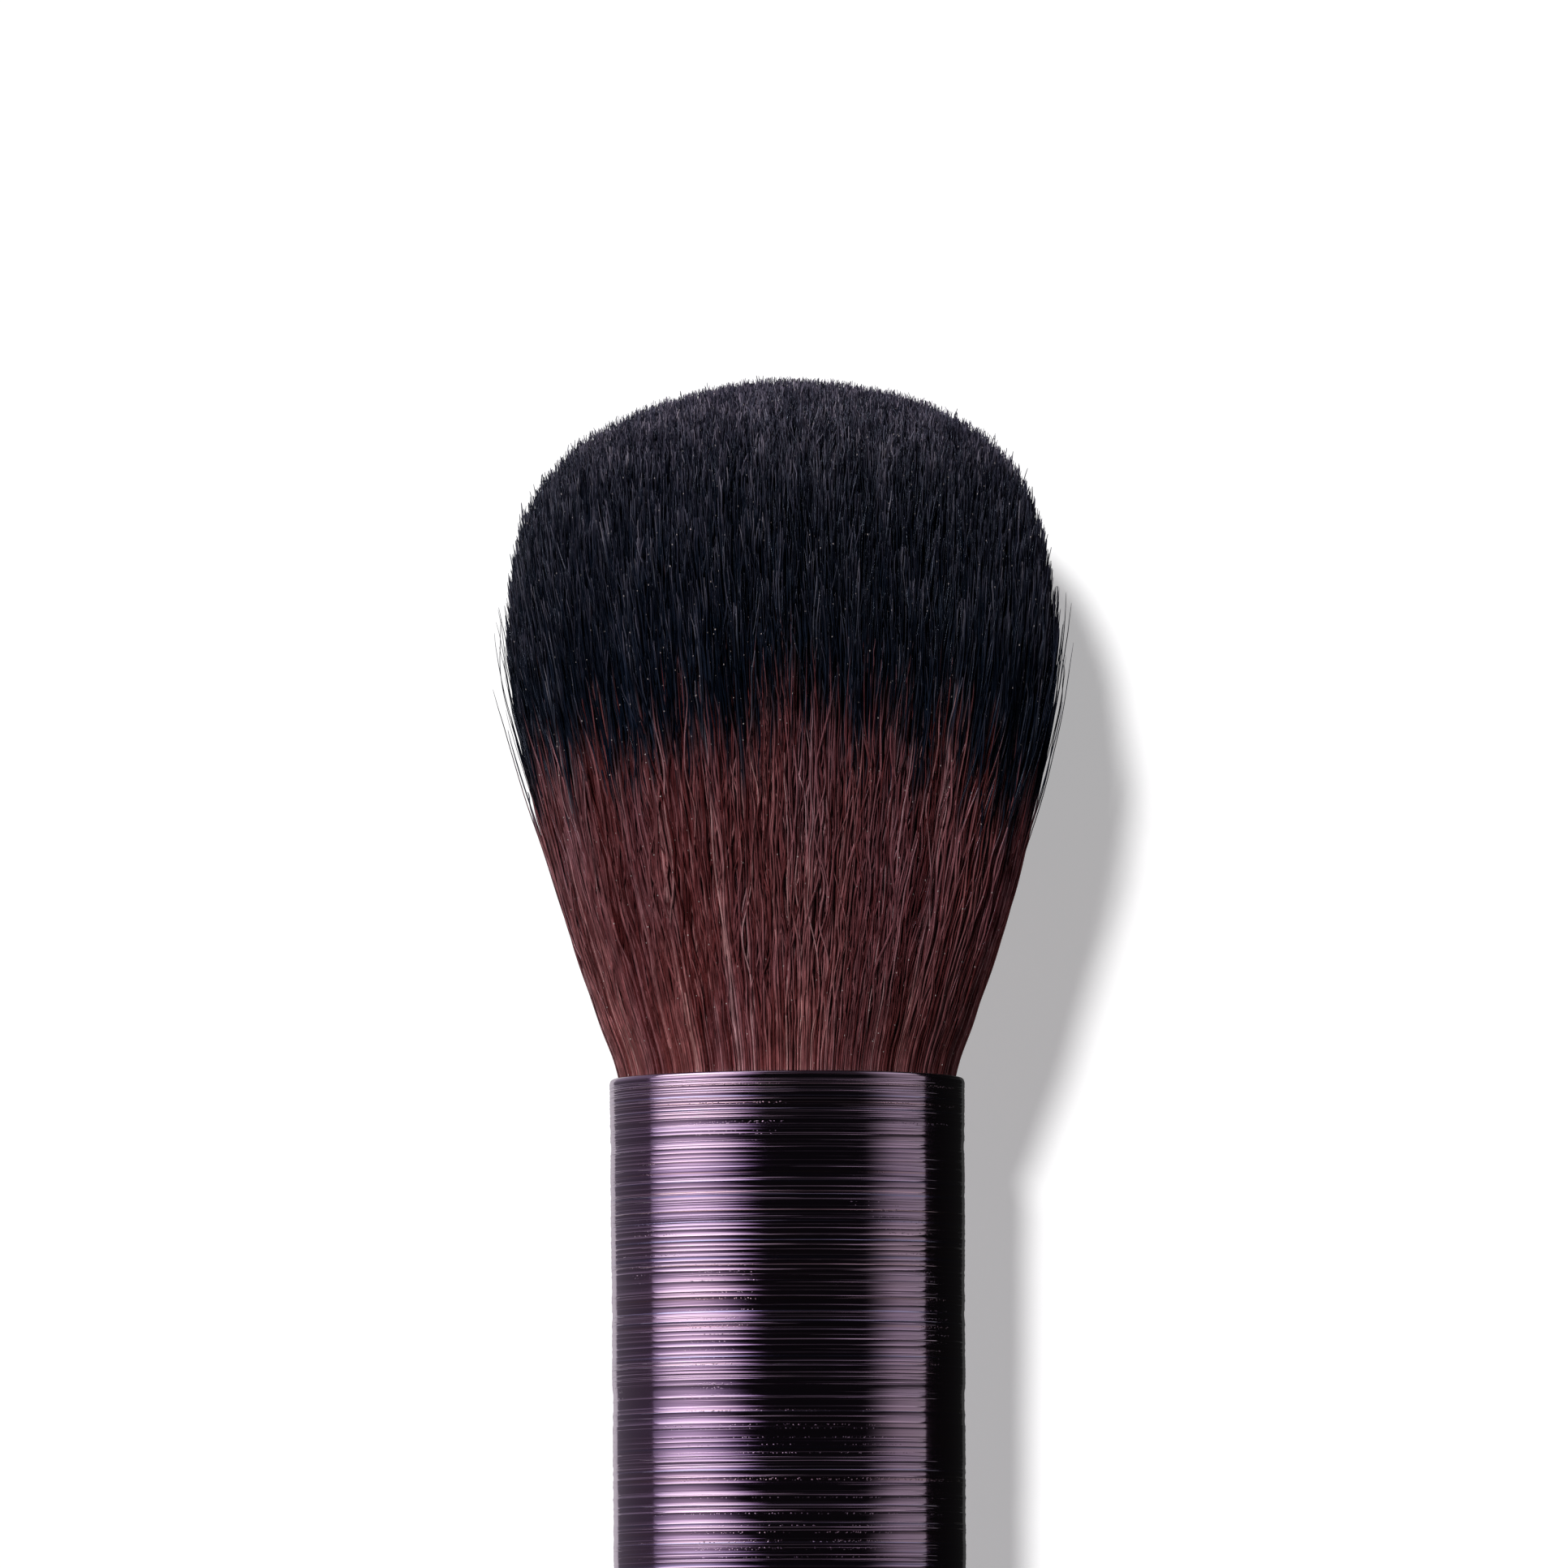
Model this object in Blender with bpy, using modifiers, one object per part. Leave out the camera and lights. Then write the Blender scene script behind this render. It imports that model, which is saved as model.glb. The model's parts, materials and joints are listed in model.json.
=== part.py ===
"""Blush brush with a round metal tube handle, lying on a table.

Every piece is turned about its own Z axis and seated on an empty that stands for the
brush's axis: local Z runs from the butt face (0) to the tips of the hair (LENGTH).
The empty then lays the brush down, head towards +X, resting on the belly of the hair
and on the rim of the butt. Metres, +Z up.
"""

import math

import bmesh
import bpy

MM = 0.001

# ---- driving dimensions, millimetres -------------------------------------------------
LENGTH = 160.0          # butt face to the tips of the hair
HAIR_OUT = 37.2         # hair that stands out of the ferrule
FERRULE_LENGTH = 38.0
MOUTH_D = 19.0          # outer diameter at the ferrule's mouth
BUTT_D = 18.1           # outer diameter at the butt: one straight taper from mouth to butt
WALL = 0.45             # wall of both tubes
GAP = 0.3               # between neighbouring solids
CAP_FLANGE = 2.4        # thickness of the end cap's visible disc
CAP_PLUG_D = 13.0
CAP_PLUG_LENGTH = 6.5
ROOT_DEPTH = 10.0       # tied root of the hair inside the ferrule
WAIST_D = 15.2          # root where the thread ties it
THREAD_D = 0.5
THREAD_TURNS = 4
THREAD_PITCH = 0.64
RESIN_LENGTH = 7.0
SPIGOT_LENGTH = 19.0    # handle core inside the ferrule
ROD_D = 6.0
ROD_LENGTH = 58.0
ROD_STOP_LENGTH = 5.0
GLUE_WIDTH = 1.8        # along the axis
GLUE_DEPTH = 0.75

# half profile of the hair above the ferrule's mouth: height, radius
HAIR_STATIONS = [
    (0.35, 9.03), (2.0, 9.67), (4.6, 10.59), (9.8, 12.17), (15.0, 13.51), (20.2, 14.56),
    (23.6, 14.92), (26.6, 14.66), (29.7, 13.90), (32.3, 12.40), (34.4, 10.10),
    (35.9, 7.30), (36.8, 4.00), (37.2, 0.0),
]

OUTER_SIDES = 48        # sides of the round pieces that show
INNER_SIDES = 32        # sides of the hidden ones

MOUTH = LENGTH - HAIR_OUT                 # height of the ferrule's mouth
JOINT = MOUTH - FERRULE_LENGTH            # height of the joint between the two tubes


# ---- helpers -------------------------------------------------------------------------
def clear_scene():
    for obj in list(bpy.data.objects):
        bpy.data.objects.remove(obj, do_unlink=True)


def material(name, colour, metallic, roughness):
    mat = bpy.data.materials.new(name)
    mat.use_nodes = True
    bsdf = mat.node_tree.nodes["Principled BSDF"]
    bsdf.inputs["Base Color"].default_value = (*colour, 1.0)
    bsdf.inputs["Metallic"].default_value = metallic
    bsdf.inputs["Roughness"].default_value = roughness
    mat.diffuse_color = (*colour, 1.0)
    return mat


def outer_radius(z):
    """Radius of the tapered metal at height z above the butt face."""
    return (BUTT_D + (MOUTH_D - BUTT_D) * z / MOUTH) / 2


def bore_radius(z):
    return outer_radius(z) - WALL


def corner(r, z, radius, quarter, steps=3):
    """Points of a rounded corner whose sharp corner would be at (r, z). Outer top is
    quarter 0, outer bottom 1, inner bottom 2 and inner top 3."""
    centre = {
        0: (r - radius, z - radius), 1: (r - radius, z + radius),
        2: (r + radius, z + radius), 3: (r + radius, z - radius),
    }[quarter]
    start = math.pi / 2 * (1 - quarter)
    found = []
    for i in range(steps + 1):
        a = start - math.pi / 2 * i / steps
        found.append((centre[0] + radius * math.cos(a), centre[1] + radius * math.sin(a)))
    return found


def spline_profile(stations, cuts):
    """Catmull-Rom curve through the stations, cuts points to a span."""
    pts = [stations[0]] + list(stations) + [(-stations[-2][0] + 2 * stations[-1][0],
                                             -stations[-2][1])]
    found = []
    for i in range(1, len(pts) - 2):
        p0, p1, p2, p3 = pts[i - 1:i + 3]
        for k in range(cuts):
            t = k / cuts
            found.append(tuple(
                0.5 * (2 * b + (c - a) * t + (2 * a - 5 * b + 4 * c - d) * t ** 2
                       + (3 * b - a - 3 * c + d) * t ** 3)
                for a, b, c, d in zip(p0, p1, p2, p3)
            ))
    found.append(tuple(stations[-1]))
    return found


def turned(name, profile, ring, sides, mat, seat, parent):
    """A turned piece: the profile of (radius, height) in mm swept about Z by a Screw.
    It runs down the outer side from top to bottom. ring closes it into a tube."""
    mesh = bpy.data.meshes.new(name + "_profile")
    bm = bmesh.new()
    verts = [bm.verts.new((r * MM, 0, z * MM)) for r, z in profile]
    for a, b in zip(verts, verts[1:]):
        bm.edges.new((a, b))
    if ring:
        bm.edges.new((verts[-1], verts[0]))
    bm.to_mesh(mesh)
    bm.free()
    guide = bpy.data.objects.new(name + "_guide", mesh)
    bpy.context.scene.collection.objects.link(guide)
    screw = guide.modifiers.new("Turn", "SCREW")
    screw.axis = "Z"
    screw.steps = screw.render_steps = sides
    screw.use_merge_vertices = True
    screw.merge_threshold = 0.000001
    bpy.context.view_layer.update()
    graph = bpy.context.evaluated_depsgraph_get()
    body = bpy.data.meshes.new_from_object(guide.evaluated_get(graph))
    bpy.data.objects.remove(guide, do_unlink=True)
    body.name = name
    return finished(name, body, mat, seat, parent, math.pi / sides)


def finished(name, mesh, mat, seat, parent, spin=0.0):
    mesh.materials.clear()
    mesh.materials.append(mat)
    mesh.shade_smooth()
    mesh.set_sharp_from_angle(angle=math.radians(35))
    obj = bpy.data.objects.new(name, mesh)
    parts.objects.link(obj)
    obj.parent = parent
    obj.location = (0, 0, seat * MM)
    obj.rotation_euler = (0, 0, spin)     # a flat side faces down, not a corner
    return obj


def grooved(z_top, z_bottom, radius, grooves):
    """Outer side of a cylinder, top to bottom, with square grooves centred at the
    heights in grooves."""
    found = [(radius(z_top), z_top)]
    for z in sorted(grooves, reverse=True):
        top, low = z + GLUE_WIDTH / 2 + GAP, z - GLUE_WIDTH / 2 - GAP
        floor = radius(z) - GLUE_DEPTH - GAP
        found += [(radius(top), top), (floor, top), (floor, low), (radius(low), low)]
    return found + [(radius(z_bottom), z_bottom)]


def glue_ring(name, z, wall, core):
    """A bead of adhesive in a groove, between the core and the tube's wall."""
    outer = wall(z) - GAP
    inner = core(z) - GLUE_DEPTH
    half = GLUE_WIDTH / 2
    profile = (corner(outer, half, 0.2, 0, 2) + corner(outer, -half, 0.2, 1, 2)
               + corner(inner, -half, 0.15, 2, 2) + corner(inner, half, 0.15, 3, 2))
    return turned(name, profile, True, INNER_SIDES, ADHESIVE, z, axis)


# ---- build ---------------------------------------------------------------------------
clear_scene()
parts = bpy.data.collections.new("blush_brush")
bpy.context.scene.collection.children.link(parts)
axis = bpy.data.objects.new("brush_axis", None)
parts.objects.link(axis)

ANODISED = material("anodised_aubergine", (0.115, 0.060, 0.120), 1.0, 0.28)
HAIR = material("two_tone_hair", (0.030, 0.012, 0.016), 0.0, 0.55)
THREAD = material("cotton_thread", (0.62, 0.57, 0.48), 0.0, 0.85)
RESIN = material("epoxy_resin", (0.42, 0.31, 0.14), 0.0, 0.25)
CORE = material("black_plastic", (0.022, 0.022, 0.024), 0.0, 0.5)
ADHESIVE = material("adhesive", (0.70, 0.66, 0.52), 0.0, 0.4)
STEEL = material("plain_steel", (0.45, 0.45, 0.46), 1.0, 0.35)
FOAM = material("soft_foam", (0.10, 0.10, 0.11), 0.0, 0.9)

# ferrule: tapered tube with a rolled mouth
profile = (
    corner(outer_radius(MOUTH), MOUTH - JOINT, 0.2, 0)
    + corner(outer_radius(JOINT), GAP / 2, 0.1, 1, 2)
    + corner(bore_radius(JOINT), GAP / 2, 0.1, 2, 2)
    + corner(bore_radius(MOUTH), MOUTH - JOINT, 0.2, 3)
)
turned("ferrule", profile, True, OUTER_SIDES, ANODISED, JOINT, axis)

# handle sleeve: the same taper, from the end cap to the joint
sleeve_low = CAP_FLANGE + GAP
profile = (
    corner(outer_radius(JOINT), JOINT - GAP / 2 - sleeve_low, 0.1, 0, 2)
    + corner(outer_radius(sleeve_low), 0, 0.1, 1, 2)
    + corner(bore_radius(sleeve_low), 0, 0.1, 2, 2)
    + corner(bore_radius(JOINT), JOINT - GAP / 2 - sleeve_low, 0.1, 3, 2)
)
turned("handle_sleeve", profile, True, OUTER_SIDES, ANODISED, sleeve_low, axis)

# end cap: flat butt, rounded rim, plug with a glue groove
plug_r = CAP_PLUG_D / 2
cap_top = CAP_FLANGE + CAP_PLUG_LENGTH
cap_groove = CAP_FLANGE + 3.4
low, high = cap_groove - GLUE_WIDTH / 2 - GAP, cap_groove + GLUE_WIDTH / 2 + GAP
floor = plug_r - GLUE_DEPTH - GAP
profile = (
    [(0, cap_top)] + corner(plug_r, cap_top, 0.5, 0, 2)
    + [(plug_r, high), (floor, high), (floor, low), (plug_r, low), (plug_r, CAP_FLANGE)]
    + corner(outer_radius(CAP_FLANGE), CAP_FLANGE, 0.1, 0, 2)
    + corner(outer_radius(0), 0, 0.6, 1, 5)
    + [(0, 0)]
)
turned("end_cap", profile, False, OUTER_SIDES, ANODISED, 0, axis)
glue_ring("cap_glue", cap_groove, lambda z: plug_r + GAP * 1.6, lambda z: plug_r)

# handle core: body in the sleeve, spigot in the ferrule, bore for the weight
core_low = CAP_FLANGE + GAP
core_top = JOINT + SPIGOT_LENGTH
core_radius = lambda z: bore_radius(z) - GAP
body_grooves = (24.0, 66.0)
spigot_grooves = (JOINT + 5.5, JOINT + 13.0)
socket_r = plug_r + GAP * 1.6
socket_top = cap_top + GAP
rod_bore = ROD_D / 2 + GAP
bore_top = socket_top + ROD_STOP_LENGTH + ROD_LENGTH + 2 * GAP
profile = [(0, core_top)]
profile += corner(core_radius(core_top), core_top, 0.6, 0, 2)
profile += grooved(core_top - 1.0, core_low + 0.5, core_radius, body_grooves + spigot_grooves)
profile += corner(core_radius(core_low), core_low, 0.3, 1, 1)
profile += [(socket_r, core_low), (socket_r, socket_top), (rod_bore, socket_top),
            (rod_bore, bore_top), (0, bore_top + rod_bore * 0.35)]
turned("handle_core", [(r, z - core_low) for r, z in profile], False, INNER_SIDES, CORE,
       core_low, axis)

for name, z in (("sleeve_glue_lower", body_grooves[0]), ("sleeve_glue_upper", body_grooves[1]),
                ("spigot_glue_lower", spigot_grooves[0]), ("spigot_glue_upper", spigot_grooves[1])):
    glue_ring(name, z, bore_radius, core_radius)

# steel weight and the soft plug under it
rod_low = socket_top + ROD_STOP_LENGTH + GAP
half = ROD_D / 2
profile = ([(0, ROD_LENGTH)] + corner(half, ROD_LENGTH, 0.5, 0, 2)
           + corner(half, 0, 0.5, 1, 2) + [(0, 0)])
turned("weight_rod", profile, False, INNER_SIDES, STEEL, rod_low, axis)
profile = ([(0, ROD_STOP_LENGTH)] + corner(half, ROD_STOP_LENGTH, 0.8, 0, 3)
           + corner(half, 0, 0.8, 1, 3) + [(0, 0)])
turned("rod_stop", profile, False, INNER_SIDES, FOAM, socket_top, axis)

# epoxy plug between the spigot and the root of the hair
resin_low = core_top + GAP
resin_top = resin_low + RESIN_LENGTH
profile = [(0, RESIN_LENGTH), (5.0, RESIN_LENGTH)]
profile += [(core_radius(resin_top) - 0.2, RESIN_LENGTH + 0.0)]
profile += [(core_radius(resin_top), RESIN_LENGTH - 0.4)]
profile += corner(core_radius(resin_low), 0, 0.4, 1, 2) + [(0, 0)]
turned("resin_plug", profile, False, INNER_SIDES, RESIN, resin_low, axis)

# hair: tied root, straight neck inside the mouth, flared and domed head
root_low = MOUTH - ROOT_DEPTH
neck = bore_radius(MOUTH) - GAP
waist = WAIST_D / 2
tie_low = 1.6
tie_high = tie_low + THREAD_TURNS * THREAD_PITCH + 1.0
head = [(r, h + ROOT_DEPTH) for h, r in spline_profile(HAIR_STATIONS, 2)]
profile = head[::-1] + [
    (neck, ROOT_DEPTH - 0.1), (neck, tie_high + 1.6), (waist, tie_high), (waist, tie_low),
    (neck - 0.45, tie_low - 1.0), (neck - 0.45, 0.3), (neck - 0.75, 0.0), (0, 0),
]
turned("bristle_tuft", profile, False, OUTER_SIDES, HAIR, root_low, axis)

# thread wound round the root
curve = bpy.data.curves.new("binding_thread", "CURVE")
curve.dimensions = "3D"
curve.bevel_depth = THREAD_D / 2 * MM
curve.bevel_resolution = 2
curve.use_fill_caps = True
spline = curve.splines.new("POLY")
per_turn = 24
count = THREAD_TURNS * per_turn + 1
spline.points.add(count - 1)
coil_r = waist + GAP + THREAD_D / 2
for i in range(count):
    a = 2 * math.pi * i / per_turn
    spline.points[i].co = (coil_r * math.cos(a) * MM, coil_r * math.sin(a) * MM,
                           THREAD_PITCH * i / per_turn * MM, 1)
curve.materials.append(THREAD)
thread = bpy.data.objects.new("binding_thread", curve)
parts.objects.link(thread)
thread.parent = axis
thread.location = (0, 0, (root_low + tie_low + 0.35) * MM)

# ---- lay the brush on the table ------------------------------------------------------
# Its belly and the butt's rim both touch, so the head is up by the angle of the line
# that is tangent to both.
rim_r, rim_z = outer_radius(0), 0.6
tilt = max(math.atan2(r - rim_r, z + root_low - rim_z) for r, z in head)
axis.rotation_euler = (0, math.pi / 2 - tilt, 0)
bpy.context.view_layer.update()
graph = bpy.context.evaluated_depsgraph_get()
lows, highs = [], []
for obj in parts.objects:
    if obj.type != "MESH":
        continue
    points = [obj.matrix_world @ v.co for v in obj.data.vertices]
    lows.append([min(p[i] for p in points) for i in range(3)])
    highs.append([max(p[i] for p in points) for i in range(3)])
low = [min(p[i] for p in lows) for i in range(3)]
high = [max(p[i] for p in highs) for i in range(3)]
axis.location = (-(low[0] + high[0]) / 2, -(low[1] + high[1]) / 2, -low[2])
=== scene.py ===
"""Looks of the blush brush: turned anodised metal, a tuft of single two-tone filaments,
a pale floor, soft studio light and a camera that looks down on the brush.

Pieces are modelled in the brush's own frame, in millimetres along its axis (h = 0 at the
ferrule's mouth, positive towards the tips), and placed by one matrix.
"""

import json
import math

import bpy
import numpy as np
from mathutils import Matrix, Vector
from mathutils.kdtree import KDTree

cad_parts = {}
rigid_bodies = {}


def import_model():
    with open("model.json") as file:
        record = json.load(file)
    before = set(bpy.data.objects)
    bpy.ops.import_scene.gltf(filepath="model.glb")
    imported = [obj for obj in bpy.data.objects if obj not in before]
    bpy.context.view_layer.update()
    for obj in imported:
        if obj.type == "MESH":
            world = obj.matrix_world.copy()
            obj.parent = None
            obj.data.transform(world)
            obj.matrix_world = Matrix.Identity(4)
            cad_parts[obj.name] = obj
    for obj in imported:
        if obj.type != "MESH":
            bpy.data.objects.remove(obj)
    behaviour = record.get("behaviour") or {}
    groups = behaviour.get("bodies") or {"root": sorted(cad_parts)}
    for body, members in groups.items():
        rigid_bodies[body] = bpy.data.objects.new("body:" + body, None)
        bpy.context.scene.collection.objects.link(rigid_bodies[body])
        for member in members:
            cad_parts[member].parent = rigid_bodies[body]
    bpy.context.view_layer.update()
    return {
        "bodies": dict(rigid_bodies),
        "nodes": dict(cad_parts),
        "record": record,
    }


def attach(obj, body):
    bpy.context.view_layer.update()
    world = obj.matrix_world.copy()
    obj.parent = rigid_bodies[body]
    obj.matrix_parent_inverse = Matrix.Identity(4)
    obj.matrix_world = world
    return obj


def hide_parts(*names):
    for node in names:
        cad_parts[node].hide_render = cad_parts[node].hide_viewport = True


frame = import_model()

BODY = next(iter(frame["bodies"]))
MM = 0.001

# ---- the brush's axis, as the CAD lays it --------------------------------------------
LENGTH, HAIR_OUT, FERRULE_LENGTH = 160.0, 37.2, 38.0
MOUTH_D, BUTT_D, WALL = 19.0, 18.1, 0.45
CAP_FLANGE = 2.4
MOUTH = LENGTH - HAIR_OUT
JOINT = MOUTH - FERRULE_LENGTH


butt = Vector(frame["record"]["mounts"][0]["pos_m"])
axis_dir = -Vector(frame["record"]["mounts"][0]["axis"]).normalized()
side_dir = Vector((0, 1, 0))
down_dir = side_dir.cross(axis_dir).normalized()      # local +X: down, towards the floor
LAID = Matrix((
    (down_dir.x, side_dir.x, axis_dir.x, butt.x + axis_dir.x * MOUTH * MM),
    (down_dir.y, side_dir.y, axis_dir.y, butt.y + axis_dir.y * MOUTH * MM),
    (down_dir.z, side_dir.z, axis_dir.z, butt.z + axis_dir.z * MOUTH * MM),
    (0, 0, 0, 1),
))


def outer_radius(h):
    """Radius of the metal at h mm above the mouth (h is negative on the metal)."""
    return (BUTT_D + (MOUTH_D - BUTT_D) * (h + MOUTH) / MOUTH) / 2


# ---- node helpers --------------------------------------------------------------------
class Nodes:
    """A small wrapper that keeps material code short."""

    def __init__(self, name):
        self.mat = bpy.data.materials.new(name)
        self.mat.use_nodes = True
        self.tree = self.mat.node_tree
        self.bsdf = self.tree.nodes["Principled BSDF"]

    def add(self, kind, **settings):
        node = self.tree.nodes.new(kind)
        for key, value in settings.items():
            if key == "inputs":
                for name, v in value.items():
                    self.put(v, node.inputs[name])
            else:
                setattr(node, key, value)
        return node

    def put(self, value, socket):
        if isinstance(value, bpy.types.NodeSocket):
            self.tree.links.new(value, socket)
        else:
            socket.default_value = value

    def math(self, op, a, b=0.0, c=0.0, clamp=False):
        node = self.add("ShaderNodeMath", operation=op, use_clamp=clamp)
        for i, v in enumerate((a, b, c)):
            self.put(v, node.inputs[i])
        return node.outputs[0]

    def mix(self, f, a, b, blend="MIX"):
        node = self.add("ShaderNodeMix", data_type="RGBA", blend_type=blend)
        self.put(f, node.inputs[0])
        self.put(a, node.inputs[6])
        self.put(b, node.inputs[7])
        return node.outputs[2]

    def ramp(self, f, stops, interpolation="LINEAR"):
        node = self.add("ShaderNodeValToRGB")
        node.color_ramp.interpolation = interpolation
        while len(node.color_ramp.elements) < len(stops):
            node.color_ramp.elements.new(0.5)
        for e, (pos, colour) in zip(node.color_ramp.elements, stops):
            e.position = pos
            e.color = colour if len(colour) == 4 else (*colour, 1.0)
        self.put(f, node.inputs[0])
        return node.outputs[0]

    def spread(self, f, low, high, to_low=0.0, to_high=1.0, smooth=False):
        node = self.add("ShaderNodeMapRange")
        if smooth:
            node.interpolation_type = "SMOOTHSTEP"
        for i, v in enumerate((f, low, high, to_low, to_high)):
            self.put(v, node.inputs[i])
        return node.outputs[0]

    def noise(self, vector, scale, detail=2.0, rough=0.5):
        node = self.add("ShaderNodeTexNoise")
        self.put(vector, node.inputs["Vector"])
        node.inputs["Scale"].default_value = scale
        node.inputs["Detail"].default_value = detail
        node.inputs["Roughness"].default_value = rough
        return node.outputs[0]

    def scaled(self, vector, scale):
        node = self.add("ShaderNodeVectorMath", operation="MULTIPLY")
        self.put(vector, node.inputs[0])
        node.inputs[1].default_value = scale
        return node.outputs[0]

    def height(self, vector):
        node = self.add("ShaderNodeSeparateXYZ")
        self.put(vector, node.inputs[0])
        return node.outputs[2]

    def attribute(self, name):
        node = self.add("ShaderNodeAttribute", attribute_name=name)
        return node.outputs["Fac"]

    def bump(self, height, strength, distance, under=None):
        node = self.add("ShaderNodeBump")
        node.inputs["Strength"].default_value = strength
        node.inputs["Distance"].default_value = distance
        self.put(height, node.inputs["Height"])
        if under is not None:
            self.put(under, node.inputs["Normal"])
        return node.outputs[0]

    def set(self, **sockets):
        names = {
            "colour": "Base Color", "metal": "Metallic", "rough": "Roughness", "ior": "IOR",
            "normal": "Normal", "specular": "Specular IOR Level", "tint": "Specular Tint",
            "aniso": "Anisotropic", "coat": "Coat Weight", "coat_rough": "Coat Roughness",
            "coat_ior": "Coat IOR", "sheen": "Sheen Weight", "sheen_rough": "Sheen Roughness",
            "sheen_tint": "Sheen Tint", "sub": "Subsurface Weight", "coat_normal": "Coat Normal",
        }
        for key, value in sockets.items():
            self.put(value, self.bsdf.inputs[names[key]])
        return self.mat


# ---- mesh helpers --------------------------------------------------------------------
def quick_mesh(name, verts, quads, tris=None, uv=None, floats=None, tri_uv=None):
    """A mesh from arrays: verts (n, 3) in mm, quads (m, 4), tris (k, 3)."""
    mesh = bpy.data.meshes.new(name)
    tris = np.empty((0, 3), np.int32) if tris is None else tris
    loops = np.concatenate([quads.reshape(-1), tris.reshape(-1)]).astype(np.int32)
    starts = np.concatenate([
        np.arange(len(quads)) * 4, len(quads) * 4 + np.arange(len(tris)) * 3
    ]).astype(np.int32)
    mesh.vertices.add(len(verts))
    mesh.vertices.foreach_set("co", (verts * MM).astype(np.float32).reshape(-1))
    mesh.loops.add(len(loops))
    mesh.loops.foreach_set("vertex_index", loops)
    mesh.polygons.add(len(starts))
    mesh.polygons.foreach_set("loop_start", starts)
    mesh.update(calc_edges=True)
    mesh.shade_smooth()
    if uv is not None:
        layer = mesh.uv_layers.new(name="OFBake")
        flat = uv.reshape(-1, 2)
        if tri_uv is not None:
            flat = np.concatenate([flat, tri_uv.reshape(-1, 2)])
        layer.uv.foreach_set("vector", flat.astype(np.float32).reshape(-1))
    for key, values in (floats or {}).items():
        made = mesh.attributes.new(key, "FLOAT", "POINT")
        made.data.foreach_set("value", values.astype(np.float32))
    mesh.validate()
    return mesh


def piece(name, mesh, mat, node):
    mesh.materials.append(mat)
    obj = bpy.data.objects.new(name, mesh)
    bpy.context.scene.collection.objects.link(obj)
    obj.matrix_world = LAID
    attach(obj, BODY)
    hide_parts(node)
    return obj


def smooth(x, a, b):
    t = np.clip((x - a) / (b - a), 0, 1)
    return t * t * (3 - 2 * t)


def spline_curve(stations, cuts=12):
    """Catmull-Rom through (h, value) stations, as arrays for np.interp."""
    p = [stations[0]] + list(stations) + [stations[-1]]
    out = []
    for i in range(1, len(p) - 2):
        a, b, c, d = (np.array(q, float) for q in p[i - 1:i + 3])
        for k in range(cuts):
            t = k / cuts
            out.append(0.5 * (2 * b + (c - a) * t + (2 * a - 5 * b + 4 * c - d) * t * t
                              + (3 * b - a - 3 * c + d) * t ** 3))
    out.append(np.array(stations[-1], float))
    out = np.array(out)
    order = np.argsort(out[:, 0], kind="stable")
    return out[order, 0], out[order, 1]


# ======================================================================================
# Turned metal
# ======================================================================================
TRACK = ((0.0, -0.44), (0.09, -0.17), (0.20, -0.09), (0.47, -0.01), (0.76, 0.12), (0.92, 0.28),
         (1.0, 0.56))


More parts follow.
